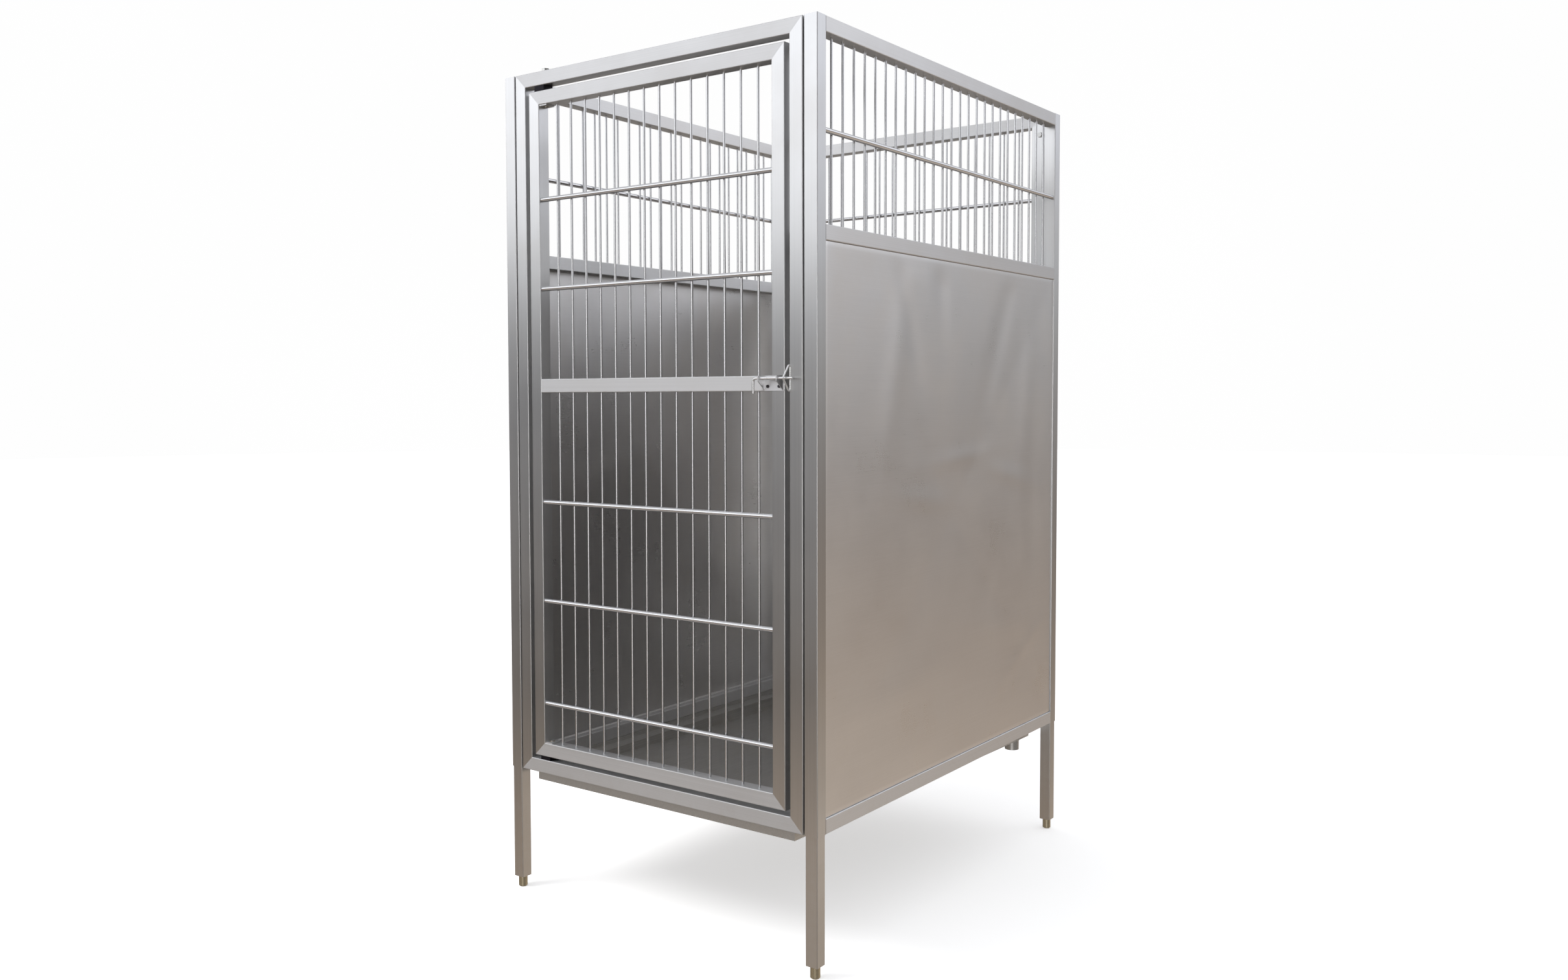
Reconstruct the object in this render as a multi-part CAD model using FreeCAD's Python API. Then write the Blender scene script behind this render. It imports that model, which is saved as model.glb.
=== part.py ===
"""Stainless steel kennel cage on legs, open at the top, with a mitred barred door.

The frame is X across the door, Y from the door to the back, and Z up. The origin is
on the floor, midway between the outermost pieces. The door faces -Y, hangs on two
vertical pivots at -X and is latched at +X.
"""
import FreeCAD, Part
import math
import os

V = FreeCAD.Vector

# ---- overall sizes ----
width = 970.0            # across the outer faces of the corner posts
depth = 1300.0           # door face to back face of the corner posts
frame_height = 1805.0    # underside of the bottom rails to the open top
leg_clearance = 325.0    # floor to the underside of the bottom rails

# ---- square tube ----
tube = 35.0              # side of the posts, rails and stiles
tube_wall = 1.5
tube_corner = 2.0        # outer corner radius
cap_thickness = 3.0      # plate welded into the top of each post
cap_clearance = 0.1

# ---- legs and feet ----
leg_clearance_fit = 0.1  # leg tube inside the post, each side
leg_insert = 60.0        # length of leg hidden in the post
plug_height = 22.0       # block welded into the bottom of the leg
foot_diameter = 23.0
foot_height = 29.0       # floor to the underside of the leg
foot_chamfer = 2.5
stud_diameter = 12.0
stud_length = 45.0
stud_bore_clearance = 0.1
foot_gap = 0.3           # foot shoulder below the plug

# ---- bars ----
bar_diameter = 6.0       # upright bars
cross_diameter = 12.0    # bars welded across the uprights
side_gaps = 26           # gaps between posts on a side
back_gaps = 17
door_gaps = 15

# ---- heights in the frame, as shares of the frame height from its underside ----
mid_rail_share = 0.74127       # centre of the middle rails
cage_cross_share = 0.86482     # cross bars of the sides and the back
lock_rail_share = 0.55817      # centre of the door's lock rail
door_cross_shares = (0.10194, 0.25014, 0.39224, 0.69557, 0.82105)
marking_step = 0.5             # heights are marked out to this

# ---- sheets ----
sheet = 1.5
sheet_recess = 3.0       # sheet face behind the tube face
sheet_fold = 12.0        # depth of the folded edges
cross_break = 9.0        # depth of the shallow stiffening pyramid at its middle

# ---- front surround, back frame and door ----
frame_gap = 4.0          # between a post and the mitred frame beside it
door_side_gap = 13.0
door_end_gap = 10.0      # door to the surround, below
door_top_gap = 14.0      # and above
tab_width = 48.0
tab_height = 30.0
tab_thickness = 4.0
tab_end_distance = 57.0        # tab centre from the end of the frame
tab_into_stile = 26.0          # tab edge inboard of the stile's outer side
frame_bolt_diameter = 8.0
frame_bolt_head = 5.2
frame_bolt_flats = 13.0        # across the flats of head and nut
frame_bolt_inset = 9.0         # bolt axis from the stile's outer side
frame_bolt_bite = 12.0         # front bolts, length inside the stile
nut_height = 6.5
bolt_end = 1.5                 # thread showing past a nut

# ---- pivots ----
pivot_from_door_edge = 44.0
pivot_diameter = 10.0
pivot_head = 6.4
pivot_flats = 17.0             # across the flats of the head
pivot_clearance = 0.05         # pin in bush, radial
bush_diameter = 14.0
bush_seat_clearance = 0.05
block_width = 33.0
block_depth = 32.0
block_past_pivot = 8.0         # block edge past the pivot, towards the latch
block_running_gap = 0.3        # block to door
pivot_plate_width = 25.0
pivot_plate_depth = 31.0
pivot_plate_thickness = 3.0
pin_end = 2.0                  # pin showing past its plate
washer_diameter = 20.0
washer_thickness = 2.0

# ---- latch ----
latch_plate_width = 52.0
latch_plate_thickness = 2.0
latch_plate_below = 16.5       # bottom edge of the plate below the rail's centre
latch_rod_diameter = 6.0
latch_rod_clearance = 0.08     # rod in the ear, radial
latch_rod_forward = 20.0       # rod axis in front of the door
latch_rod_above = 11.5         # rod axis above the lock rail's centre
latch_rod_past_stile = 22.0    # tip past the surround's inner side
latch_rod_length = 107.0       # bend corner to tip
latch_handle = 34.0            # bend corner to handle end
latch_bend = 8.0
ear_forward = 27.0
ear_nose = 12.0                # height of the ear's front edge
latch_plate_from_edge = 3.0    # plate's edge to the door's outer side
screw_diameter = 4.0
screw_head = 7.0
screw_head_height = 2.0
screw_length = 12.0
screw_spacing = 31.0
screw_below = 6.5              # below the lock rail's centre
keeper_wire = 4.0
keeper_forward = 30.0          # loop's corner in front of the surround
keeper_half_height = 36.0
keeper_bend = 4.0
keeper_from_inner_side = 3.0   # loop's plane from the stile's inner side

# ---- floor tray ----
tray_sheet = 1.5
tray_side_gap = 76.0     # post's outer face to the pan's side wall
tray_end_gap = 22.0      # front face to the pan's front wall
tray_front_drop = 27.0   # underside below the rails at the door
tray_back_drop = 53.0    # and at the back
tray_rim_drop = 10.0     # rim of the side walls below the rails
tray_lip = 12.0          # lip under the front and back rails
tray_ledge_step = 2.0    # step in the ledge from the rail's inner side
tray_ledge_under = 22.0  # ledge under the side rail
tray_end_clearance = 5.0 # ledge's end to the leg
tray_screws_per_side = 3
tray_screw_diameter = 5.0
tray_screw_head = 9.0
tray_screw_head_height = 2.5
tray_screw_length = 10.0

# ---- drain ----
drain_from_side = 112.0  # post's outer face to the drain's axis
drain_from_back = 62.0
drain_outer = 42.0
drain_wall = 1.5
drain_straight = 25.0    # length of the straight end
drain_top_outer = 50.0
drain_end_height = 236.0 # end of the spout above the floor

# ---- working allowance ----
past = 1.0               # how far a cutting shape runs past the face it cuts

# ---- places worked out from the sizes ----
inner = tube - 2 * tube_wall
keeper_rise = math.atan2(keeper_half_height, keeper_forward - keeper_wire / 2)
keeper_reach = keeper_forward - keeper_bend * (1 / math.sin(keeper_rise) - 1) + keeper_wire / 2
bolt_reach = tab_thickness + nut_height + bolt_end
x_out = width / 2
y_front = (keeper_reach - bolt_reach - depth) / 2
y_back = y_front + depth
z_low = leg_clearance
z_top = leg_clearance + frame_height


def height_at(share):
    """Height above the floor of a share of the frame, to the nearest marking step."""
    return round((z_low + share * frame_height) / marking_step) * marking_step


mid_rail_height = height_at(mid_rail_share)
cage_cross_height = height_at(cage_cross_share)
lock_rail_height = height_at(lock_rail_share)
door_cross_heights = [height_at(share) for share in door_cross_shares]
post_x = x_out - tube / 2
frame_x = x_out - tube - frame_gap
frame_inner_x = frame_x - tube
door_x = frame_inner_x - door_side_gap
door_inner_x = door_x - tube
door_low = z_low + tube + door_end_gap
door_top = z_top - tube - door_top_gap
front_y = y_front + tube / 2
back_y = y_back - tube / 2
pivot_x = -door_x + pivot_from_door_edge
leg_size = inner - 2 * leg_clearance_fit
leg_low = foot_height
rod_y = y_front - latch_rod_forward
rod_z = lock_rail_height + latch_rod_above
drain_x = x_out - drain_from_side
drain_y = y_back - drain_from_back


def box(low, high):
    return Part.makeBox(high[0] - low[0], high[1] - low[1], high[2] - low[2], V(*low))


def turned(shape, axis):
    """Turn a shape that runs along Z so that it runs along X, Y or Z."""
    if axis == "x":
        shape.rotate(V(0, 0, 0), V(0, 1, 0), 90)
    if axis == "y":
        shape.rotate(V(0, 0, 0), V(1, 0, 0), -90)
    return shape


def placed(shape, axis, start, centre):
    """Move a turned shape to its start along its axis; centre is the other two coordinates."""
    if axis == "x":
        shape.translate(V(start, centre[0], centre[1]))
    elif axis == "y":
        shape.translate(V(centre[0], start, centre[1]))
    else:
        shape.translate(V(centre[0], centre[1], start))
    return shape


def rod(axis, start, end, centre, diameter):
    shape = Part.makeCylinder(diameter / 2, end - start)
    return placed(turned(shape, axis), axis, start, centre)


def square_tube(axis, start, end, centre, size=tube):
    """Square tube with rounded outer corners, between two places along its axis."""
    length = end - start
    outer = Part.makeBox(size, size, length, V(-size / 2, -size / 2, 0))
    long_edges = [edge for edge in outer.Edges if abs(edge.tangentAt(edge.FirstParameter).z) > 0.99]
    outer = outer.makeFillet(tube_corner, long_edges)
    hollow = size - 2 * tube_wall
    bore = Part.makeBox(hollow, hollow, length + 2 * past, V(-hollow / 2, -hollow / 2, -past))
    return placed(turned(outer.cut(bore), axis), axis, start, centre)


def hexagon(across_flats, height, axis, start, centre):
    radius = across_flats / math.sqrt(3)
    angles = [i * math.pi / 3 for i in range(7)]
    outline = [V(radius * math.cos(angle), radius * math.sin(angle), 0) for angle in angles]
    shape = Part.Face(Part.makePolygon(outline)).extrude(V(0, 0, height))
    return placed(turned(shape, axis), axis, start, centre)


def prism(points, axis, start, end):
    """Extrude an outline: (y, z) points along X, or (x, z) points along Y."""
    if axis == "x":
        outline = [V(start, a, b) for a, b in points]
        along = V(end - start, 0, 0)
    else:
        outline = [V(a, start, b) for a, b in points]
        along = V(0, end - start, 0)
    return Part.Face(Part.makePolygon(outline + outline[:1])).extrude(along)


def bent_rod(points, diameter, bend):
    """Round rod through three corners of one plane, with a rounded middle corner."""
    first, corner, last = [V(*point) for point in points]
    to_first = (first - corner).normalize()
    to_last = (last - corner).normalize()
    half = to_first.getAngle(to_last) / 2
    setback = bend / math.tan(half)
    middle = (to_first + to_last).normalize()
    arc_start = corner + to_first * setback
    arc_end = corner + to_last * setback
    arc_middle = corner + middle * (bend / math.sin(half) - bend)
    edges = [Part.makeLine(first, arc_start), Part.Arc(arc_start, arc_middle, arc_end).toShape(),
             Part.makeLine(arc_end, last)]
    section = Part.Wire(Part.makeCircle(diameter / 2, first, to_first * -1))
    return Part.Wire(edges).makePipeShell([section], True, True)


def wire_loop(corners, diameter, bend):
    """Closed ring of round wire in one plane, with every corner rounded to the same radius."""
    edges = []
    start = (corners[0] + corners[-1]) / 2
    place = start
    for index, corner in enumerate(corners):
        to_last = (corners[index - 1] - corner).normalize()
        to_next = (corners[(index + 1) % len(corners)] - corner).normalize()
        half = to_last.getAngle(to_next) / 2
        setback = bend / math.tan(half)
        arc_start = corner + to_last * setback
        arc_end = corner + to_next * setback
        arc_middle = corner + (to_last + to_next).normalize() * (bend / math.sin(half) - bend)
        edges.append(Part.makeLine(place, arc_start))
        edges.append(Part.Arc(arc_start, arc_middle, arc_end).toShape())
        place = arc_end
    edges.append(Part.makeLine(place, start))
    section = Part.Wire(Part.makeCircle(diameter / 2, start, corners[0] - corners[-1]))
    return Part.Wire(edges).makePipeShell([section], True, True)


def mitre_outline(half_width, low, top, sign):
    """Outline of the end tube at low or top: cut at 45 degrees from the frame's corners."""
    x = half_width
    z = low if sign > 0 else top
    outside, inside = z - sign * past, z + sign * (tube + past)
    x_out, x_in = x + past, x - tube - past
    return [(-x_out, outside), (x_out, outside), (x_in, inside), (-x_in, inside)]


def mitred_frame(half_width, low, top, centre_y):
    """Four tubes cut at 45 degrees: left stile, right stile, bottom rail, top rail."""
    near, far = centre_y - tube, centre_y + tube
    ends = []
    for z, sign in ((low, 1), (top, -1)):
        rail = square_tube("x", -half_width, half_width, (centre_y, z + sign * tube / 2))
        ends.append(rail.common(prism(mitre_outline(half_width, low, top, sign), "y", near, far)))
    stiles = []
    for sign in (-1, 1):
        x_outside, x_inside = sign * (half_width + past), sign * (half_width - tube - past)
        outline = [(x_outside, low - past), (x_inside, low + tube + past),
                   (x_inside, top - tube - past), (x_outside, top + past)]
        stile = square_tube("z", low, top, (sign * (half_width - tube / 2), centre_y))
        stiles.append(stile.common(prism(outline, "y", near, far)))
    return stiles + ends


def folded_sheet(length, height):
    """Sheet facing +Y with its edges folded back. Two creases from corner to corner press
    its face into four flat facets, deepest in the middle."""
    half = length / 2
    outer = box((-half, -sheet_fold, 0), (half, 0, height))
    hollow = box((sheet - half, -sheet_fold - past, sheet), (half - sheet, -sheet, height - sheet))
    outer = outer.cut(pressed(half, 0, height))
    inner_face = pressed(half - sheet, sheet, height - sheet)
    inner_face.translate(V(0, -sheet, 0))
    return outer.cut(hollow.cut(inner_face))


def pressed(half, low, top):
    """Shallow pyramid with its base on Y = 0 and its point at -Y."""
    middle = (low + top) / 2
    shape = Part.makeWedge(-half, 0, low, middle, 0, half, cross_break, top, middle, 0)
    shape.rotate(V(0, 0, 0), V(0, 0, 1), 180)
    return shape


def corners():
    """The four corner posts: name, x and y of the centre."""
    for side, x in (("left", -post_x), ("right", post_x)):
        for end, y in (("front", front_y), ("back", back_y)):
            yield end + "_" + side, x, y


def save(name, shapes):
    """Write one node; a list of shapes stays a group of separate solids."""
    solids = []
    for shape in shapes if isinstance(shapes, list) else [shapes]:
        solids += shape.Solids
    shape = solids[0] if len(solids) == 1 else Part.makeCompound(solids)
    shape.exportStep("parts/" + name + ".step")


def posts_and_legs():
    caps = []
    plugs = []
    for name, x, y in corners():
        save(name + "_post", square_tube("z", z_low, z_top, (x, y)))
        save(name + "_leg", square_tube("z", leg_low, z_low + leg_insert, (x, y), leg_size))
        half = inner / 2 - cap_clearance
        caps.append(box((x - half, y - half, z_top - cap_thickness), (x + half, y + half, z_top)))
        half = leg_size / 2 - tube_wall
        plug_top = leg_low + plug_height
        plug = box((x - half, y - half, leg_low), (x + half, y + half, plug_top))
        bore = stud_diameter + 2 * stud_bore_clearance
        plugs.append(plug.cut(rod("z", leg_low - past, plug_top + past, (x, y), bore)))
        save(name + "_foot", levelling_foot(x, y))
    save("post_caps", caps)
    save("leg_plugs", plugs)


def levelling_foot(x, y):
    """Round foot with a threaded stud that screws up into the plug of the leg."""
    shoulder = foot_height - foot_gap
    barrel = Part.makeCylinder(foot_diameter / 2, shoulder)
    rim = [edge for edge in barrel.Edges if edge.Closed and edge.CenterOfMass.z < shoulder / 4]
    barrel = barrel.makeChamfer(foot_chamfer, rim)
    barrel.translate(V(x, y, 0))
    stud = rod("z", shoulder - past, shoulder + stud_length, (x, y), stud_diameter)
    return barrel.fuse(stud).removeSplitter()


def tray_screw_places():
    """Y places of the screws that hold the tray's ledges to the side rails."""
    span = depth - 2 * tube
    return [y_front + tube + span * (i + 0.5) / tray_screws_per_side for i in range(tray_screws_per_side)]


def side(name, sign):
    """One side: three rails between the posts, upright bars, a cross bar and a sheet."""
    y_start, y_end = y_front + tube, y_back - tube
    x = sign * post_x
    bottom = square_tube("y", y_start, y_end, (x, z_low + tube / 2))
    for y in tray_screw_places():
        bottom = bottom.cut(rod("z", z_low - past, z_low + tube_wall + past, (x, y), tray_screw_diameter))
    save(name + "_bottom_rail", bottom)
    save(name + "_mid_rail", square_tube("y", y_start, y_end, (x, mid_rail_height)))
    save(name + "_top_rail", square_tube("y", y_start, y_end, (x, z_top - tube / 2)))
    pitch = (y_end - y_start) / side_gaps
    bar_low, bar_top = mid_rail_height + tube / 2, z_top - tube
    places = [y_start + pitch * i for i in range(1, side_gaps)]
    save(name + "_bars", [rod("z", bar_low, bar_top, (x, y), bar_diameter) for y in places])
    cross_x = sign * (post_x + (bar_diameter + cross_diameter) / 2)
    save(name + "_cross_bar", rod("y", y_start, y_end, (cross_x, cage_cross_height), cross_diameter))
    low, top = z_low + tube, mid_rail_height - tube / 2
    panel = folded_sheet(y_end - y_start, top - low)
    panel.rotate(V(0, 0, 0), V(0, 0, 1), -sign * 90)
    panel.translate(V(sign * (x_out - sheet_recess), (y_start + y_end) / 2, low))
    save(name + "_sheet", panel)


def bolt_places():
    """X and Z of the bolts that hold each mitred frame to the tabs on the posts."""
    x = frame_x - frame_bolt_inset
    for z in (z_low + tab_end_distance, z_top - tab_end_distance):
        yield -x, z
        yield x, z


def front_surround():
    left, right, bottom, top = mitred_frame(frame_x, z_low, z_top, front_y)
    for x, z in bolt_places():
        hole_start = y_front + tube - tube_wall - past
        hole = rod("y", hole_start, y_front + tube + past, (x, z), frame_bolt_diameter)
        left = left.cut(hole)
        right = right.cut(hole)
    pin_hole = rod("z", z_low - past, z_top + past, (pivot_x, front_y), pivot_diameter)
    save("surround_left_stile", left)
    save("surround_right_stile", right)
    save("surround_bottom_rail", bottom.cut(pin_hole))
    save("surround_top_rail", top.cut(pin_hole))


def back_frame():
    left, right, bottom, top = mitred_frame(frame_x, z_low, z_top, back_y)
    for x, z in bolt_places():
        hole = rod("y", y_back - tube - past, y_back + past, (x, z), frame_bolt_diameter)
        left = left.cut(hole)
        right = right.cut(hole)
    save("back_left_stile", left)
    save("back_right_stile", right)
    save("back_bottom_rail", bottom)
    save("back_top_rail", top)
    reach = frame_inner_x
    save("back_mid_rail", square_tube("x", -reach, reach, (back_y, mid_rail_height)))
    pitch = 2 * reach / back_gaps
    places = [-reach + pitch * i for i in range(1, back_gaps)]
    bar_low, bar_top = mid_rail_height + tube / 2, z_top - tube
    save("back_bars", [rod("z", bar_low, bar_top, (x, back_y), bar_diameter) for x in places])
    cross_y = back_y + (bar_diameter + cross_diameter) / 2
    save("back_cross_bar", rod("x", -reach, reach, (cross_y, cage_cross_height), cross_diameter))
    low, top_edge = z_low + tube, mid_rail_height - tube / 2
    panel = folded_sheet(2 * reach, top_edge - low)
    panel.translate(V(0, y_back - sheet_recess, low))
    save("back_sheet", panel)


def frame_tabs_and_bolts():
    """Tabs welded to the posts behind each mitred frame, and the bolts through them."""
    tabs = []
    bolts = []
    d = frame_bolt_diameter
    head = frame_bolt_head
    flats = frame_bolt_flats
    for x, z in bolt_places():
        sign = 1 if x > 0 else -1
        inboard = sign * (frame_x - tab_into_stile)
        x_low, x_high = sorted((inboard, inboard + sign * tab_width))
        for y in (y_front + tube, y_back):
            tab = box((x_low, y, z - tab_height / 2), (x_high, y + tab_thickness, z + tab_height / 2))
            tabs.append(tab.cut(rod("y", y - past, y + tab_thickness + past, (x, z), d)))
        seat = y_front + tube + tab_thickness
        bolt = rod("y", y_front + tube - frame_bolt_bite, seat, (x, z), d)
        bolts.append(bolt.fuse(hexagon(flats, head, "y", seat, (x, z))).removeSplitter())
        seat = y_back - tube
        bolt = rod("y", seat, y_back + bolt_reach, (x, z), d)
        bolts.append(bolt.fuse(hexagon(flats, head, "y", seat - head, (x, z))).removeSplitter())
        nut = hexagon(flats, nut_height, "y", y_back + tab_thickness, (x, z))
        bolts.append(nut.cut(rod("y", y_back, y_back + bolt_reach, (x, z), d)))
    save("frame_tabs", tabs)
    save("frame_bolts", bolts)


def floor_tray():
    """Pan that slopes to the drain, with stepped ledges under the side rails."""
    t = tray_sheet
    pan_x = x_out - tray_side_gap
    y1, y2 = y_front + tray_end_gap, y_back - tray_end_gap
    rim = z_low - tray_rim_drop
    floor_1, floor_2 = z_low - tray_front_drop, z_low - tray_back_drop
    outer = prism([(y1, rim), (y1, floor_1), (y2, floor_2), (y2, rim)], "x", -pan_x, pan_x)
    inside = [(y1 + t, z_low), (y1 + t, floor_1 + t), (y2 - t, floor_2 + t), (y2 - t, z_low)]
    pieces = []
    for y, lip_y in ((y1, y1 - tray_lip), (y2 - t, y2 - t)):
        pieces.append(box((-pan_x, y, rim - past), (pan_x, y + t, z_low)))
        pieces.append(box((-pan_x, lip_y, z_low - t), (pan_x, lip_y + tray_lip + t, z_low)))
    step_x = x_out - tube - tray_ledge_step
    ledge_x = x_out - tube + tray_ledge_under
    ledge_y = (y_front + tube + tray_end_clearance, y_back - tube - tray_end_clearance)
    for sign in (-1, 1):
        for a, b, low, top in ((pan_x - past, step_x, rim - t, rim), (step_x - t, step_x, rim - t, z_low),
                               (step_x - t, ledge_x, z_low - t, z_low)):
            x_low, x_high = sorted((sign * a, sign * b))
            pieces.append(box((x_low, ledge_y[0], low), (x_high, ledge_y[1], top)))
    tray = outer.fuse(pieces).cut(prism(inside, "x", -pan_x + t, pan_x - t)).removeSplitter()
    bore = drain_outer - 2 * drain_wall
    tray = tray.cut(rod("z", floor_2 - t, z_low, (drain_x, drain_y), bore))
    screws = []
    for sign in (-1, 1):
        for y in tray_screw_places():
            x = sign * post_x
            tray = tray.cut(rod("z", z_low - t - past, z_low + past, (x, y), tray_screw_diameter))
            shank = rod("z", z_low - t, z_low - t + tray_screw_length, (x, y), tray_screw_diameter)
            head = rod("z", z_low - t - tray_screw_head_height, z_low - t, (x, y), tray_screw_head)
            screws.append(head.fuse(shank).removeSplitter())
    save("floor_tray", tray)
    save("tray_screws", screws)
    save("drain_spout", drain_spout(y1, floor_1, y2, floor_2))


def drain_spout(y1, floor_1, y2, floor_2):
    """Tapered spout with a straight end, its top cut to the slope of the pan."""
    top = z_low
    taper = drain_end_height + drain_straight
    slope = (floor_2 - floor_1) / (y2 - y1)
    under = floor_1 + slope * (drain_y - y1)
    outer = rod("z", drain_end_height, taper, (drain_x, drain_y), drain_outer)
    place = V(drain_x, drain_y, taper)
    flare = Part.makeCone(drain_outer / 2, drain_top_outer / 2, under - taper, place)
    collar = rod("z", under, top, (drain_x, drain_y), drain_top_outer)
    inside = drain_outer - 2 * drain_wall
    bore = rod("z", drain_end_height - past, top + past, (drain_x, drain_y), inside)
    outline = [(y1, floor_1), (y2, floor_2), (y2, top + past), (y1, top + past)]
    above = prism(outline, "x", 0, x_out)
    return outer.fuse([flare, collar]).removeSplitter().cut(bore).cut(above)


def pivots():
    """Spacer blocks on the surround and the two pins that the door turns on."""
    d = pivot_diameter
    x_high = pivot_x + block_past_pivot
    y_low = front_y - block_depth / 2
    blocks = []
    spans = ((z_low + tube, door_low - block_running_gap), (door_top + block_running_gap, z_top - tube))
    for low, top in spans:
        block = box((x_high - block_width, y_low, low), (x_high, y_low + block_depth, top))
        blocks.append(block.cut(rod("z", low - past, top + past, (pivot_x, front_y), d)))
    save("hinge_blocks", blocks)
    reach = tube + pivot_plate_thickness + pin_end
    shank = rod("z", door_top - reach, z_top + washer_thickness, (pivot_x, front_y), d)
    head = hexagon(pivot_flats, pivot_head, "z", z_top + washer_thickness, (pivot_x, front_y))
    washer = rod("z", z_top, z_top + washer_thickness, (pivot_x, front_y), washer_diameter)
    save("upper_pivot_bolt", shank.fuse([head, washer]).removeSplitter())
    save("lower_pivot_pin", rod("z", z_low, door_low + reach, (pivot_x, front_y), d))


def keeper():
    """Closed loop of wire on the surround: two sloping legs and an upright one against the face."""
    x = frame_inner_x + keeper_from_inner_side
    y = y_front - keeper_wire / 2
    corners = [V(x, y, rod_z + keeper_half_height), V(x, y_front - keeper_forward, rod_z),
               V(x, y, rod_z - keeper_half_height)]
    save("keeper_loop", wire_loop(corners, keeper_wire, keeper_bend))


def screw_places():
    centre = door_x - latch_plate_from_edge - latch_plate_width / 2
    return [(centre + sign * screw_spacing / 2, lock_rail_height - screw_below) for sign in (-1, 1)]


def door():
    left, right, bottom, top = mitred_frame(door_x, door_low, door_top, front_y)
    d = bush_diameter
    seat = rod("z", door_low - past, door_top + past, (pivot_x, front_y), d + 2 * bush_seat_clearance)
    lock_rail = square_tube("x", -door_inner_x, door_inner_x, (front_y, lock_rail_height))
    for x, z in screw_places():
        hole = rod("y", y_front - past, y_front + tube_wall + past, (x, z), screw_diameter)
        lock_rail = lock_rail.cut(hole)
        right = right.cut(hole)
    save("door_hinge_stile", left.cut(seat))
    save("door_lock_stile", right)
    save("door_bottom_rail", bottom.cut(seat))
    save("door_top_rail", top.cut(seat))
    save("door_lock_rail", lock_rail)
    pitch = 2 * door_inner_x / door_gaps
    bars = []
    for x in [-door_inner_x + pitch * i for i in range(1, door_gaps)]:
        bars.append(rod("z", door_low + tube, lock_rail_height - tube / 2, (x, front_y), bar_diameter))
        bars.append(rod("z", lock_rail_height + tube / 2, door_top - tube, (x, front_y), bar_diameter))
    save("door_bars", bars)
    cross_y = front_y - (bar_diameter + cross_diameter) / 2
    save("door_cross_bars", [rod("x", -door_inner_x, door_inner_x, (cross_y, z), cross_diameter)
                             for z in door_cross_heights])
    reach = tube + pivot_plate_thickness
    bushes = []
    plates = []
    bore = pivot_diameter + 2 * pivot_clearance
    for low, plate_low in ((door_low, door_low + tube), (door_top - reach, door_top - reach)):
        bush = rod("z", low, low + reach, (pivot_x, front_y), d)
        bushes.append(bush.cut(rod("z", low - past, low + reach + past, (pivot_x, front_y), bore)))
        y_low = front_y - pivot_plate_depth / 2
        x_high = pivot_plate_width - door_inner_x
        z_high = plate_low + pivot_plate_thickness
        plate = box((-door_inner_x, y_low, plate_low), (x_high, y_low + pivot_plate_depth, z_high))
        plates.append(plate.cut(seat))
    save("pivot_bushes", bushes)
    save("pivot_plates", plates)


def latch():
    """Plate with two ears on the lock rail, its screws, and the bent rod it carries."""
    t = latch_plate_thickness
    x_high = door_x - latch_plate_from_edge
    x_low = x_high - latch_plate_width
    low, top = lock_rail_height - latch_plate_below, lock_rail_height + tube / 2
    plate = box((x_low, y_front - t, low), (x_high, y_front, top))
    nose_y = y_front - ear_forward
    outline = [(y_front, low), (y_front, top), (nose_y, top), (nose_y, top - ear_nose)]
    ears = [prism(outline, "x", x, x + t) for x in (x_low, x_high - t)]
    plate = plate.fuse(ears).removeSplitter()
    bore = latch_rod_diameter + 2 * latch_rod_clearance
    plate = plate.cut(rod("x", x_low - past, x_high + past, (rod_y, rod_z), bore))
    screws = []
    for x, z in screw_places():
        plate = plate.cut(rod("y", y_front - t - past, y_front + past, (x, z), screw_diameter))
        shank = rod("y", y_front - t, y_front - t + screw_length, (x, z), screw_diameter)
        head = rod("y", y_front - t - screw_head_height, y_front - t, (x, z), screw_head)
        screws.append(head.fuse(shank).removeSplitter())
    save("latch_plate", plate)
    save("latch_screws", screws)
    tip = frame_inner_x + latch_rod_past_stile
    corner = tip - latch_rod_length
    points = [(tip, rod_y, rod_z), (corner, rod_y, rod_z), (corner, rod_y, rod_z - latch_handle)]
    save("latch_rod", bent_rod(points, latch_rod_diameter, latch_bend))


os.makedirs("parts", exist_ok=True)
posts_and_legs()
side("left", -1)
side("right", 1)
front_surround()
back_frame()
frame_tabs_and_bolts()
floor_tray()
pivots()
keeper()
door()
latch()
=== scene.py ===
"""Stainless steel kennel cage: brushed finishes, pressed sheets, floor, light and camera.

Lengths are in metres. X runs across the door, Y from the door to the back and Z up.
"""
import math

import bpy
import numpy as np
from mathutils import Matrix, Vector


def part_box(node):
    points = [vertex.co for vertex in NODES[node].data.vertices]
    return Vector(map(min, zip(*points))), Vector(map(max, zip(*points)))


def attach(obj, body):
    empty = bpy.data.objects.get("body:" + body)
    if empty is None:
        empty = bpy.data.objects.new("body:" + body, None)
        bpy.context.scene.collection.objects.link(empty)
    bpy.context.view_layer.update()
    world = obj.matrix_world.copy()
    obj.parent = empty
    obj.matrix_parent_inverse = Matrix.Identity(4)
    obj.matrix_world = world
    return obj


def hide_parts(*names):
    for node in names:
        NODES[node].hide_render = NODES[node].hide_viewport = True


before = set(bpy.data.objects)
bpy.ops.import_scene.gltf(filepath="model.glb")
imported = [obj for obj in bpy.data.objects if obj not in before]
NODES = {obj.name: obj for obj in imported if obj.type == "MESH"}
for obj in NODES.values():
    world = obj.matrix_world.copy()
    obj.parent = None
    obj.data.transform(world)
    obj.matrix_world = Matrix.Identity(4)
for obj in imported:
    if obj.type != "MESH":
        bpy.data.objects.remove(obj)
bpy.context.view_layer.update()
MM = 0.001
UP = Vector((0, 0, 1))


# ---------------------------------------------------------------- node helpers

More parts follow.
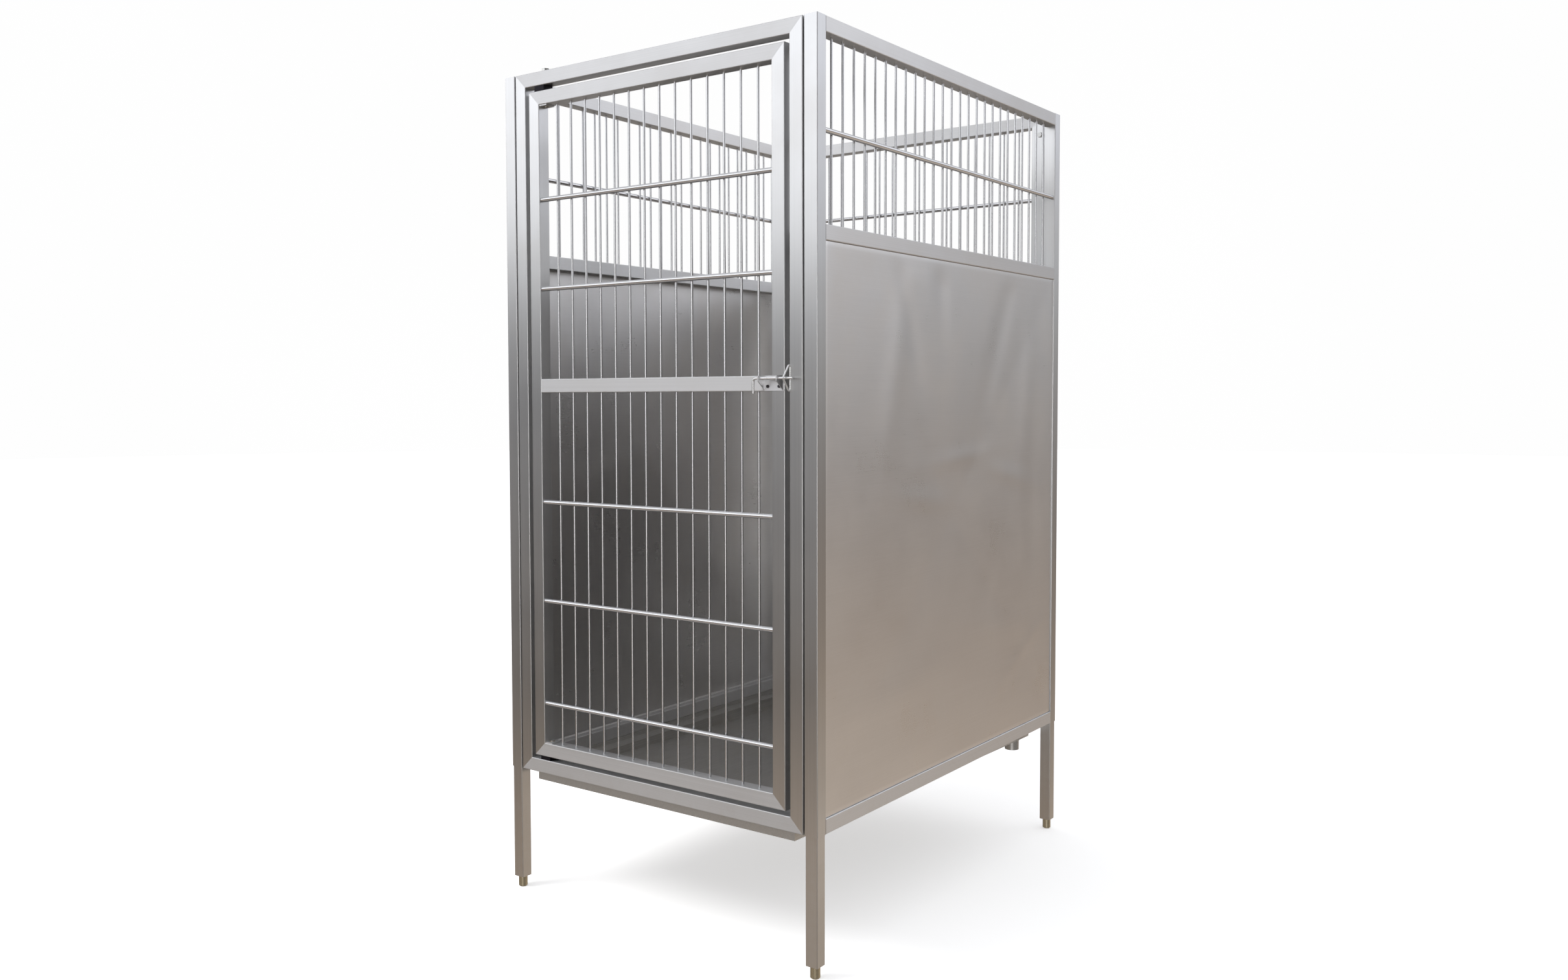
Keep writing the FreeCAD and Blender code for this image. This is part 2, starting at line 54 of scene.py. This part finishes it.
class Shader:
    """A material or world node tree, with short calls that make and join nodes."""

    def __init__(self, tree):
        self.tree = tree
        self.tree.nodes.clear()

    def node(self, kind, values=None, **settings):
        made = self.tree.nodes.new(kind)
        for key, value in settings.items():
            setattr(made, key, value)
        for socket, value in (values or {}).items():
            if isinstance(value, bpy.types.NodeSocket):
                self.tree.links.new(value, made.inputs[socket])
            else:
                made.inputs[socket].default_value = value
        return made

    def value(self, operation, a, b=0.0):
        return self.node("ShaderNodeMath", {0: a, 1: b}, operation=operation).outputs[0]

    def spread(self, a, low, high, to_low=0.0, to_high=1.0):
        """The value a, carried from the range low..high to to_low..to_high and held at its ends."""
        sockets = {"Value": a, "From Min": low, "From Max": high,
                   "To Min": to_low, "To Max": to_high}
        return self.node("ShaderNodeMapRange", sockets).outputs["Result"]

    def noise(self, place, scale, stretch=(1, 1, 1), detail=3.0, roughness=0.5):
        """Noise of scale times stretch cycles a metre along each axis."""
        moved = self.node("ShaderNodeMapping", {"Vector": place, "Scale": stretch}).outputs[0]
        sockets = {"Vector": moved, "Scale": scale, "Detail": detail, "Roughness": roughness}
        return self.node("ShaderNodeTexNoise", sockets).outputs["Fac"]

    def mix(self, amount, a, b):
        """Colour a where amount is 0 and colour b where it is 1."""
        first_colour, second_colour, colour_result = 6, 7, 2
        made = self.node("ShaderNodeMix", {"Factor": amount}, data_type="RGBA")
        for socket, value in ((first_colour, a), (second_colour, b)):
            if isinstance(value, bpy.types.NodeSocket):
                self.tree.links.new(value, made.inputs[socket])
            else:
                made.inputs[socket].default_value = (*value, 1.0)
        return made.outputs[colour_result]


def new_material(name):
    made = bpy.data.materials.new(name)
    made.use_nodes = True
    return made, Shader(made.node_tree)


def shaded(tint, *shares):
    """The tint with each channel cut to a share of it."""
    return tuple(channel * share for channel, share in zip(tint, shares))


# ---------------------------------------------------------------- steel finishes

GRAIN = {"x": (1, 0, 0), "y": (0, 1, 0), "z": (0, 0, 1)}
LINES_ALONG = 1.2        # grain lines: cycles a metre along the grain
LINES_ACROSS = 700.0     # and across it
STREAK_ACROSS = 90.0
CLOUD_SCALE = 5.0        # slow patches, cycles a metre
MARK_SCALE = 42.0        # small marks
GRAIN_DEPTH = 0.2 * MM
PAINTED_SHADE_TOP = 0.34         # height above the floor where the painted shade, darker and browner, starts
PAINTED_SHADE_FULL = 0.02        # and where it is full
PAINTED_SHADE_WANDER = 0.06      # how far its edge strays up and down
RING_STRETCH = (20, 20, 1600)    # turning marks: cycles a metre along X, Y and Z
SCRATCH_SCALE = 160.0    # small scratches and patches, cycles a metre
PATCH_SCALE = 24.0
DIRT = (0.10, 0.085, 0.06)
BEVEL_SAMPLES = 4


def grain_stretch(axis, along, across):
    return tuple(along if axis == name else across for name in "xyz")


def softened(s, radius):
    """A normal that makes sharp edges look rounded to a radius."""
    return s.node("ShaderNodeBevel", {"Radius": radius}, samples=BEVEL_SAMPLES).outputs[0]


def brushed(name, tint, roughness, axis, directed, lines=0.5, clouds=0.5, dirt_and_painted_shade=0.0, soft_edge=0.0):
    """Steel with fine lines along one axis. directed is how far the shine is drawn out across
    the lines; lines and clouds scale the grain and the slow patches; dirt_and_painted_shade
    paints shade that darkens and browns the lowest part near the floor; soft_edge rounds the
    look of sharp edges, in metres."""
    made, s = new_material(name)
    place = s.node("ShaderNodeTexCoord").outputs["Object"]
    fine = s.noise(place, 1.0, grain_stretch(axis, LINES_ALONG, LINES_ACROSS), 2.0)
    streak = s.noise(place, 1.0, grain_stretch(axis, LINES_ALONG, STREAK_ACROSS), 2.0)
    cloud = s.noise(place, CLOUD_SCALE, detail=4.0, roughness=0.6)
    marks = s.noise(place, MARK_SCALE, detail=5.0, roughness=0.65)

    dark = tuple(channel * (1 - 0.18 * lines) for channel in tint)
    light = tuple(min(channel * (1 + 0.10 * lines), 1.0) for channel in tint)
    grained = s.mix(s.spread(fine, 0.3, 0.7), dark, light)
    streaked = s.mix(s.spread(streak, 0.35, 0.65, 0.0, 0.22 * lines), grained, light)
    warm = shaded(tint, 0.93, 0.89, 0.83)
    colour = s.mix(s.spread(cloud, 0.45, 0.75, 0.0, 0.40 * clouds), streaked, warm)
    # Painted shade: the lowest part near the floor is darkened and browned, standing in for the dim warm
    # reflections there.
    if dirt_and_painted_shade:
        height = s.node("ShaderNodeSeparateXYZ", {0: place}).outputs[2]
        wander = s.spread(marks, 0.3, 0.7, -PAINTED_SHADE_WANDER, PAINTED_SHADE_WANDER)
        painted_shade_amount = s.spread(s.value("ADD", height, wander), PAINTED_SHADE_TOP, PAINTED_SHADE_FULL)
        painted_shade_colour = shaded(tint, 0.72, 0.62, 0.50)
        colour = s.mix(s.value("MULTIPLY", painted_shade_amount, dirt_and_painted_shade), colour, painted_shade_colour)

    rough_lines = s.spread(fine, 0.25, 0.75, roughness - 0.05 * lines, roughness + 0.05 * lines)
    rough_cloud = s.spread(cloud, 0.3, 0.7, -0.03 * clouds, 0.04 * clouds)
    rough_marks = s.spread(marks, 0.3, 0.8, 0.0, 0.015 * clouds)
    rough = s.value("ADD", s.value("ADD", rough_lines, rough_cloud), rough_marks)

    bump_values = {"Height": fine, "Strength": 0.10 * lines, "Distance": GRAIN_DEPTH}
    if soft_edge:
        bump_values["Normal"] = softened(s, soft_edge)
    bump = s.node("ShaderNodeBump", bump_values).outputs[0]
    grain = s.node("ShaderNodeCombineXYZ", dict(enumerate(GRAIN[axis]))).outputs[0]
    surface = s.node("ShaderNodeBsdfPrincipled", {
        "Base Color": colour, "Metallic": 1.0, "Roughness": rough, "Normal": bump,
        "Anisotropic": directed, "Anisotropic Rotation": 0.25, "Tangent": grain})
    s.node("ShaderNodeOutputMaterial", {"Surface": surface.outputs[0]})
    return made


def turned(name, tint, roughness, soft_edge, dirt_and_painted_shade=0.0):
    """Machined or drawn metal with faint rings, small scratches and softened edges."""
    made, s = new_material(name)
    place = s.node("ShaderNodeTexCoord").outputs["Object"]
    rings = s.noise(place, 1.0, RING_STRETCH, 2.0)
    marks = s.noise(place, SCRATCH_SCALE, detail=5.0, roughness=0.7)
    patches = s.noise(place, PATCH_SCALE, detail=3.0)
    colour = s.mix(s.spread(marks, 0.35, 0.7), shaded(tint, 0.82, 0.82, 0.82), tint)
    colour = s.mix(s.spread(patches, 0.4, 0.7, 0.0, 0.3), colour, shaded(tint, 0.9, 0.84, 0.74))
    if dirt_and_painted_shade:
        colour = s.mix(s.spread(marks, 0.42, 0.62, 0.0, dirt_and_painted_shade), colour, DIRT)
    rough = s.value("ADD", s.spread(rings, 0.3, 0.7, roughness - 0.05, roughness + 0.05),
                    s.spread(marks, 0.4, 0.7, -0.03, 0.05))
    bump = s.node("ShaderNodeBump", {"Height": rings, "Strength": 0.12, "Distance": GRAIN_DEPTH,
                                     "Normal": softened(s, soft_edge)})
    surface = s.node("ShaderNodeBsdfPrincipled", {
        "Base Color": colour, "Metallic": 1.0, "Roughness": rough, "Normal": bump.outputs[0]})
    s.node("ShaderNodeOutputMaterial", {"Surface": surface.outputs[0]})
    return made


STEEL = (0.640, 0.640, 0.642)
SHEET_STEEL = (0.640, 0.630, 0.624)
BAR_STEEL = (0.66, 0.66, 0.67)
# The tubes carry painted shade near the floor, darker and browner at the bottom.
tube_steel = {axis: brushed("tube_steel_" + axis, STEEL, 0.33, axis, 0.95, lines=0.25, dirt_and_painted_shade=0.35)
              for axis in "xyz"}
bar_steel = {axis: brushed("bar_steel_" + axis, BAR_STEEL, 0.22, axis, 0.0, lines=0.1, clouds=0.3)
             for axis in "xyz"}
sheet_steel = {axis: brushed("sheet_steel_" + axis, SHEET_STEEL, 0.29, axis, 0.62, lines=0.12, clouds=1.0)
               for axis in "xy"}
pan_steel = brushed("pan_steel", (0.56, 0.55, 0.53), 0.46, "y", 0.5, lines=0.8, clouds=1.0)
latch_steel = brushed("latch_steel", (0.72, 0.72, 0.73), 0.36, "x", 0.3, lines=0.2, soft_edge=0.6 * MM)
latch_wire = brushed("latch_wire", (0.82, 0.82, 0.82), 0.26, "x", 0.0, lines=0.1)
# Painted shade: the latch screws are near-black, standing in for their shadowed holes.
screw_painted_shade = turned("screw_painted_shade", (0.07, 0.065, 0.07), 0.50, 0.5 * MM)
fastener_steel = turned("fastener_steel", (0.60, 0.60, 0.59), 0.34, 0.5 * MM)
foot_steel = turned("foot_steel", (0.60, 0.53, 0.38), 0.40, 1.0 * MM, dirt_and_painted_shade=0.25)
# Painted shade: the hinge blocks are near-black, standing in for the shade in the gaps round them.
hinge_block_painted_shade = turned("hinge_block_painted_shade", (0.035, 0.033, 0.040), 0.55, 0.8 * MM)
bush_bronze = turned("bush_bronze", (0.62, 0.47, 0.22), 0.38, 0.3 * MM)


def finish_for(node):
    """The finish of a carried-over node, from its name."""
    level_grain = "y" if node.startswith(("left", "right")) else "x"
    if node.endswith("_foot"):
        return foot_steel
    if node.endswith(("cross_bar", "cross_bars")):
        return bar_steel[level_grain]
    if node.endswith("_bars"):
        return bar_steel["z"]
    if node.endswith("_rail"):
        return tube_steel[level_grain]
    if node.endswith(("_post", "_stile", "_leg")):
        return tube_steel["z"]
    if node in ("post_caps", "leg_plugs", "frame_tabs", "pivot_plates"):
        return tube_steel["x"]
    if node in ("floor_tray", "drain_spout"):
        return pan_steel
    if node == "latch_plate":
        return latch_steel
    if node in ("latch_rod", "keeper_loop"):
        return latch_wire
    if node == "hinge_blocks":
        return hinge_block_painted_shade
    if node == "latch_screws":
        return screw_painted_shade
    if node == "pivot_bushes":
        return bush_bronze
    if node.endswith("_sheet"):
        return sheet_steel[level_grain]
    return fastener_steel


for node_name, node_object in NODES.items():
    node_object.data.materials.clear()
    node_object.data.materials.append(finish_for(node_name))


# ---------------------------------------------------------------- mesh helpers

def grid_object(name, points, material):
    """Smooth-shaded object from an array of points, rows by columns by three. Each face joins
    a point to the next in its row and to the two beside them in the next row."""
    rows, columns = points.shape[:2]
    index = np.arange(rows * columns).reshape(rows, columns)
    corners = [index[:-1, :-1], index[:-1, 1:], index[1:, 1:], index[1:, :-1]]
    mesh = bpy.data.meshes.new(name)
    mesh.from_pydata(points.reshape(-1, 3), [], np.stack(corners, axis=-1).reshape(-1, 4))
    mesh.polygons.foreach_set("use_smooth", np.ones(len(mesh.polygons), bool))
    mesh.materials.append(material)
    made = bpy.data.objects.new(name, mesh)
    bpy.context.scene.collection.objects.link(made)
    return made


def thicken(made, thickness):
    """Give a skin its thickness, inwards from the face that was drawn."""
    solid = made.modifiers.new("wall", "SOLIDIFY")
    solid.thickness = thickness
    solid.offset = -1.0


# ---------------------------------------------------------------- pressed wall sheets

SHEET_THICKNESS = 1.5 * MM
FOLD_DEPTH = 12 * MM
FOLD_RADIUS = 2.2 * MM
FOLD_STEPS = 7
CROSS_BREAK = 9 * MM     # how deep the middle of the pyramid lies
CREASE_SHARPNESS = 60    # power of the mean that softens its creases
FACE_STEP = 11 * MM
EDGE_FADE = 70 * MM
WAVE_HEIGHT = 0.25 * MM
QUARTER_TURN = math.pi / 2


def edge_dense(half):
    """Places from one folded edge to the other: close together on the folds, wide on the face."""
    turn = FOLD_RADIUS * QUARTER_TURN
    inner = half - FOLD_RADIUS
    folds = np.concatenate([np.linspace(0, turn, FOLD_STEPS), [turn + FOLD_DEPTH - FOLD_RADIUS]])
    steps = 2 * int(inner / FACE_STEP)
    face = np.linspace(-inner, inner, steps + 1)
    return np.concatenate([-(inner + folds[::-1]), face[1:-1], inner + folds])


def dent_height(a, b, dents):
    """Sum of soft ridges and hollows: each is a bell across its width and along its length,
    turned by its angle, of the height given for it."""
    height = np.zeros_like(a)
    for across, up, length, width, angle, rise in dents:
        turn = math.radians(angle)
        along = (a - across) * math.cos(turn) + (b - up) * math.sin(turn)
        beside = (b - up) * math.cos(turn) - (a - across) * math.sin(turn)
        height += rise * np.exp(-(along / length) ** 2 - (beside / width) ** 2)
    return height * MM


def slow_waves(a, b):
    """Two sine waves that run slantwise over the sheet, added."""
    return WAVE_HEIGHT * (np.sin(9 * a + 4 * b) + np.sin(5 * b - 13 * a + 2))


def smooth_step(share):
    """From 0 to 1 and level at both ends: the square, times three less twice the share."""
    return share * share * (3 - 2 * share)


def wall_sheet(name, node, outward, dents):
    """A flat rectangle whose edges roll back through a quarter turn into a short flange. The
    face is pressed in as a shallow pyramid: its depth falls with the larger of the two
    distances from the middle, each as a share of the half size, with the creases softened by
    a high-power mean. Soft dents and slow waves are added, fading to nothing at the folds."""
    low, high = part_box(node)
    out = Vector(outward)
    across = Vector((abs(out.y), abs(out.x), 0))
    middle = (low + high) / 2
    half_across = (high - low).dot(across) / 2
    half_up = (high.z - low.z) / 2
    a, b = np.meshgrid(edge_dense(half_across), edge_dense(half_up))

    face_a = np.clip(a, FOLD_RADIUS - half_across, half_across - FOLD_RADIUS)
    face_b = np.clip(b, FOLD_RADIUS - half_up, half_up - FOLD_RADIUS)
    over_a, over_b = a - face_a, b - face_b
    over = np.maximum(np.abs(over_a), np.abs(over_b))
    angle = np.minimum(over / FOLD_RADIUS, QUARTER_TURN)
    rolled = FOLD_RADIUS * np.sin(angle)
    flange = np.maximum(over - FOLD_RADIUS * QUARTER_TURN, 0)
    length = np.maximum(np.hypot(over_a, over_b), 1e-9)
    at_a = face_a + rolled * over_a / length
    at_b = face_b + rolled * over_b / length

    share_a, share_b = np.abs(face_a) / half_across, np.abs(face_b) / half_up
    larger = (share_a ** CREASE_SHARPNESS + share_b ** CREASE_SHARPNESS) ** (1 / CREASE_SHARPNESS)
    depth = CROSS_BREAK * np.clip(1 - larger, 0, 1)
    to_edge = np.minimum(half_across - np.abs(face_a), half_up - np.abs(face_b))
    fade = smooth_step(np.clip(to_edge / EDGE_FADE, 0, 1))
    relief = (dent_height(face_a, face_b, dents) + slow_waves(face_a, face_b)) * fade
    back = depth - relief + FOLD_RADIUS * (1 - np.cos(angle)) + flange

    face_place = middle.dot(out) + (high - low).dot(Vector(map(abs, out))) / 2
    centre = np.array(across) * middle.dot(across) + np.array((0, 0, middle.z))
    points = (at_a[..., None] * np.array(across) + at_b[..., None] * np.array(UP)
              + (face_place - back)[..., None] * np.array(out) + centre)
    if across.cross(UP).dot(out) < 0:
        points = points[:, ::-1]
    made = grid_object(name, points, finish_for(node))
    thicken(made, SHEET_THICKNESS)
    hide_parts(node)
    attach(made, "frame")


# Each dent is (across, up, length, width, angle, height): metres from the middle of the sheet,
# metres, degrees from level, and millimetres outwards.
RIGHT_DENTS = [
    (-0.30, 0.36, 0.26, 0.050, 78, 2.0),
    (-0.24, 0.50, 0.20, 0.035, 112, -2.2),
    (-0.08, 0.60, 0.14, 0.040, 100, -1.8),
    (0.26, 0.46, 0.22, 0.045, 66, -2.0),
    (0.44, 0.30, 0.20, 0.050, 84, 1.7),
    (0.05, 0.14, 0.17, 0.022, 4, 1.2),
    (-0.14, 0.04, 0.15, 0.024, -6, 1.0),
    (0.34, 0.08, 0.15, 0.024, -12, 1.2),
    (0.48, -0.06, 0.20, 0.045, 92, -1.8),
    (0.30, -0.34, 0.24, 0.045, -8, 1.0),
    (0.44, -0.42, 0.16, 0.022, 28, 0.9),
    (-0.30, -0.42, 0.26, 0.050, 6, 1.0),
]
LEFT_DENTS = [
    (0.20, 0.40, 0.18, 0.06, 70, 2.4),
    (-0.22, 0.10, 0.20, 0.05, 15, -1.9),
    (0.10, -0.30, 0.22, 0.06, -10, 1.9),
]
BACK_DENTS = [
    (0.15, 0.35, 0.16, 0.06, 60, -2.2),
    (-0.18, -0.05, 0.18, 0.05, 10, 1.9),
    (0.10, -0.40, 0.20, 0.05, -12, 1.6),
]
wall_sheet("right_wall_sheet", "right_sheet", (1, 0, 0), RIGHT_DENTS)
wall_sheet("left_wall_sheet", "left_sheet", (-1, 0, 0), LEFT_DENTS)
wall_sheet("back_wall_sheet", "back_sheet", (0, 1, 0), BACK_DENTS)


# ---------------------------------------------------------------- floor and backdrop

FLOOR_REACH = 30.0       # from the middle to each edge
FLOOR_GLOW = 0.42
BACKDROP_RADIUS = 29.0
BACKDROP_FOOT = -0.5
BACKDROP_TOP = 30.0
BACKDROP_STEPS = 64


def studio_floor():
    """A square on the ground: every corner is the reach away along X and along Y."""
    made, s = new_material("studio_floor")
    place = s.node("ShaderNodeTexCoord").outputs["Object"]
    tone = s.mix(s.noise(place, 0.8), (0.86, 0.855, 0.845), (0.89, 0.885, 0.875))
    surface = s.node("ShaderNodeBsdfPrincipled", {
        "Base Color": tone, "Roughness": 0.9,
        "Emission Color": (1, 1, 1, 1), "Emission Strength": FLOOR_GLOW})
    s.node("ShaderNodeOutputMaterial", {"Surface": surface.outputs[0]})
    x, y = np.meshgrid([-FLOOR_REACH, FLOOR_REACH], [-FLOOR_REACH, FLOOR_REACH])
    floor = grid_object("studio_floor", np.stack([x, y, np.zeros_like(x)], axis=-1), made)
    floor.visible_glossy = False


def studio_backdrop():
    """A white wall round the floor: a circle swept straight up. It is only looked at, and
    neither lights nor shades the object."""
    made, s = new_material("studio_backdrop")
    place = s.node("ShaderNodeTexCoord").outputs["Object"]
    tone = s.mix(s.noise(place, 0.1), (0.985, 0.985, 0.985), (1.0, 1.0, 1.0))
    surface = s.node("ShaderNodeEmission", {"Color": tone, "Strength": 1.0})
    s.node("ShaderNodeOutputMaterial", {"Surface": surface.outputs[0]})
    angle, height = np.meshgrid(np.linspace(0, 2 * math.pi, BACKDROP_STEPS + 1),
                                [BACKDROP_FOOT, BACKDROP_TOP])
    wall = np.stack([BACKDROP_RADIUS * np.sin(angle), BACKDROP_RADIUS * np.cos(angle), height], axis=-1)
    backdrop = grid_object("studio_backdrop", wall, made)
    for ray in ("glossy", "diffuse", "transmission", "volume_scatter", "shadow"):
        setattr(backdrop, "visible_" + ray, False)


# ---------------------------------------------------------------- light

SKY_BRIGHTEST = 2.8      # the ramps hold colours as shares of this
# Each stop is (degrees above the horizon, colour).
FRONT_SKY = [
    (-60, (0.24, 0.23, 0.22)), (-23, (0.80, 0.69, 0.59)), (-17.5, (0.44, 0.32, 0.22)),
    (-14, (0.08, 0.055, 0.035)), (-4, (0.16, 0.15, 0.15)), (2.2, (0.16, 0.16, 0.17)),
    (4.2, (0.46, 0.46, 0.47)), (6.2, (1.45, 1.47, 1.50)), (13, (2.4, 2.44, 2.52)),
    (22, (2.2, 2.24, 2.34)), (60, (1.0, 1.02, 1.07)),
]
SIDE_SKY = [
    (-60, (0.46, 0.43, 0.40)), (-20, (0.86, 0.74, 0.62)), (-12, (0.42, 0.33, 0.25)),
    (-5, (0.30, 0.25, 0.21)), (0, (0.43, 0.41, 0.40)), (4, (0.78, 0.78, 0.78)),
    (12, (1.62, 1.66, 1.78)), (24, (1.65, 1.68, 1.77)), (60, (1.0, 1.02, 1.06)),
]
CORNER_SKY = [
    (-60, (0.46, 0.43, 0.40)), (-20, (0.80, 0.68, 0.57)), (-12, (0.42, 0.33, 0.26)),
    (-5, (0.31, 0.27, 0.24)), (0, (0.36, 0.35, 0.34)), (4, (0.44, 0.44, 0.44)),
    (12, (0.66, 0.67, 0.72)), (60, (0.95, 0.97, 1.0)),
]
DIM_SKY = [
    (-60, (0.38, 0.36, 0.35)), (-20, (0.34, 0.31, 0.28)), (0, (0.17, 0.17, 0.17)),
    (13, (0.24, 0.24, 0.25)), (38, (0.8, 0.81, 0.84)), (60, (0.95, 0.96, 0.99)),
]
NEAR_SKY = [
    (-60, (0.7, 0.67, 0.64)), (-22, (2.8, 2.74, 2.68)), (7, (2.8, 2.8, 2.8)),
    (9.5, (1.10, 1.11, 1.14)), (60, (0.95, 0.97, 1.0)),
]


def studio_sky():
    """Soft light from all round. A dim sky is the one to start from, and four others take over
    where the look goes their way: the front sky at the front left, the side sky at the back
    right, the corner sky at the back, and the near sky, bright low down, at the front right."""
    world = bpy.data.worlds.new("studio")
    world.use_nodes = True
    bpy.context.scene.world = world
    s = Shader(world.node_tree)
    look = s.node("ShaderNodeTexCoord").outputs["Generated"]
    height = s.node("ShaderNodeSeparateXYZ", {0: look}).outputs[2]
    share = s.spread(height, -1, 1)

    def ramp(stops):
        """Colour by elevation: a stop lies at half of one more than the sine of its angle."""
        made = s.node("ShaderNodeValToRGB", {"Fac": share})
        elements = made.color_ramp.elements
        while len(elements) < len(stops):
            elements.new(0.5)
        for element, (elevation, colour) in zip(elements, stops):
            element.position = (math.sin(math.radians(elevation)) + 1) / 2
            element.color = (*[channel / SKY_BRIGHTEST for channel in colour], 1)
        return made.outputs["Color"]

    def toward(x, y, start, full):
        """How far the look goes along a level direction: 0 up to start and 1 from full on."""
        facing = s.node("ShaderNodeVectorMath", {0: look, 1: (x, y, 0)}, operation="DOT_PRODUCT")
        return s.spread(facing.outputs["Value"], start, full)

    front, side, corner, dim, near = map(ramp, (FRONT_SKY, SIDE_SKY, CORNER_SKY, DIM_SKY, NEAR_SKY))
    colour = s.mix(toward(-0.64, -0.768, 0.78, 0.94), dim, front)
    colour = s.mix(toward(0.62, 0.785, 0.74, 0.92), colour, side)
    colour = s.mix(toward(0.26, 0.966, 0.90, 0.985), colour, corner)
    colour = s.mix(toward(0.45, -0.893, 0.945, 0.99), colour, near)
    surface = s.node("ShaderNodeBackground", {"Color": colour, "Strength": SKY_BRIGHTEST})
    s.node("ShaderNodeOutputWorld", {"Surface": surface.outputs[0]})


def soft_light(name, place, aim, size, power):
    """A round lamp of the given width and watts, turned to its aim. It is not seen, straight
    or in a reflection."""
    lamp = bpy.data.lights.new(name, "AREA")
    lamp.shape = "DISK"
    lamp.size = size
    lamp.energy = power
    made = bpy.data.objects.new(name, lamp)
    made.location = place
    made.rotation_euler = (Vector(aim) - Vector(place)).to_track_quat("-Z", "Y").to_euler()
    made.visible_camera = False
    made.visible_glossy = False
    bpy.context.scene.collection.objects.link(made)


# ---------------------------------------------------------------- camera

CAMERA_PLACE = (2.0465, -3.0085, 1.3026)
CAMERA_TURN = 36.774     # degrees to the left of straight in
CAMERA_DIP = 2.671
CAMERA_ROLL = -0.166
SENSOR_WIDTH = 36.0      # sensor and lens in millimetres
LENS = 29.80
SHIFT_X, SHIFT_Y = 0.0274, -0.0207


def place_camera():
    """Eye height, front right of the cage, looking back and to the left."""
    turn, dip, roll = map(math.radians, (CAMERA_TURN, CAMERA_DIP, CAMERA_ROLL))
    right = Vector((math.cos(turn), math.sin(turn), 0))
    look = Vector((-math.sin(turn) * math.cos(dip), math.cos(turn) * math.cos(dip), -math.sin(dip)))
    up = right.cross(look)
    axis_x = right * math.cos(roll) + up * math.sin(roll)
    axis_y = up * math.cos(roll) - right * math.sin(roll)
    data = bpy.data.cameras.new("camera")
    data.sensor_width = SENSOR_WIDTH
    data.lens = LENS
    data.shift_x = SHIFT_X
    data.shift_y = SHIFT_Y
    camera = bpy.data.objects.new("camera", data)
    turned_to = Matrix((axis_x, axis_y, -look)).transposed().to_4x4()
    camera.matrix_world = Matrix.Translation(CAMERA_PLACE) @ turned_to
    bpy.context.scene.collection.objects.link(camera)
    bpy.context.scene.camera = camera


studio_floor()
studio_backdrop()
studio_sky()
soft_light("key_light", (-2.5, -3.5, 4.5), (0, 0, 1), 2.5, 160)
place_camera()
bpy.context.scene.view_settings.view_transform = "Standard"
